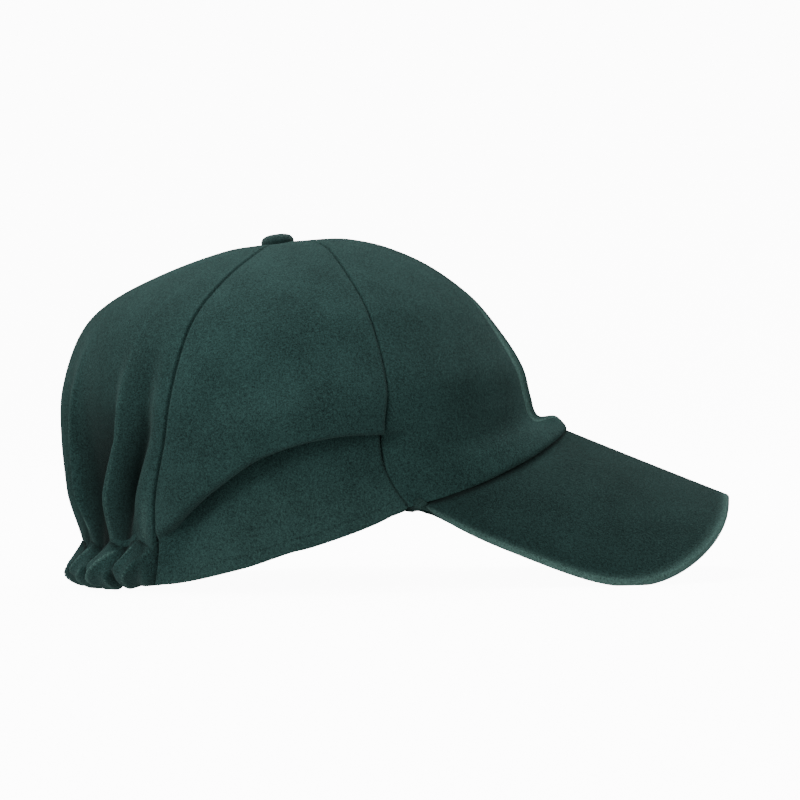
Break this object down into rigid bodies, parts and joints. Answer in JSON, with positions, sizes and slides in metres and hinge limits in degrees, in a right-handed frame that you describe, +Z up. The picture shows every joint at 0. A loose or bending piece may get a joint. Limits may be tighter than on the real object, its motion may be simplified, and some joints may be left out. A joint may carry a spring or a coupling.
{
  "type": "cricket cap",
  "caption": "Soft wool cricket cap with a gored crown, a covered button, side tucks, an elasticated back and a curved peak.",
  "frame": {"origin": "middle of the cap's box, on the surface it rests on", "axes": "+X forwards along the peak, +Y to the wearer's left, +Z up"},
  "size_m": [0.2664, 0.1898, 0.1391],
  "materials": {
    "crown_cloth": "matt milled wool with a short nap",
    "peak_cloth": "matt milled wool with a short nap",
    "button_cloth": "matt milled wool with a short nap"
  },
  "bodies": {
    "root": {"front_panel_left": "crown_cloth", "front_panel_right": "crown_cloth", "side_panel_left": "crown_cloth", "side_panel_right": "crown_cloth", "back_panel_left": "crown_cloth", "back_panel_right": "crown_cloth", "elastic_casing": "crown_cloth", "crown_button": "button_cloth", "peak_top": "peak_cloth", "peak_under": "peak_cloth"}
  },
  "joints": []
}
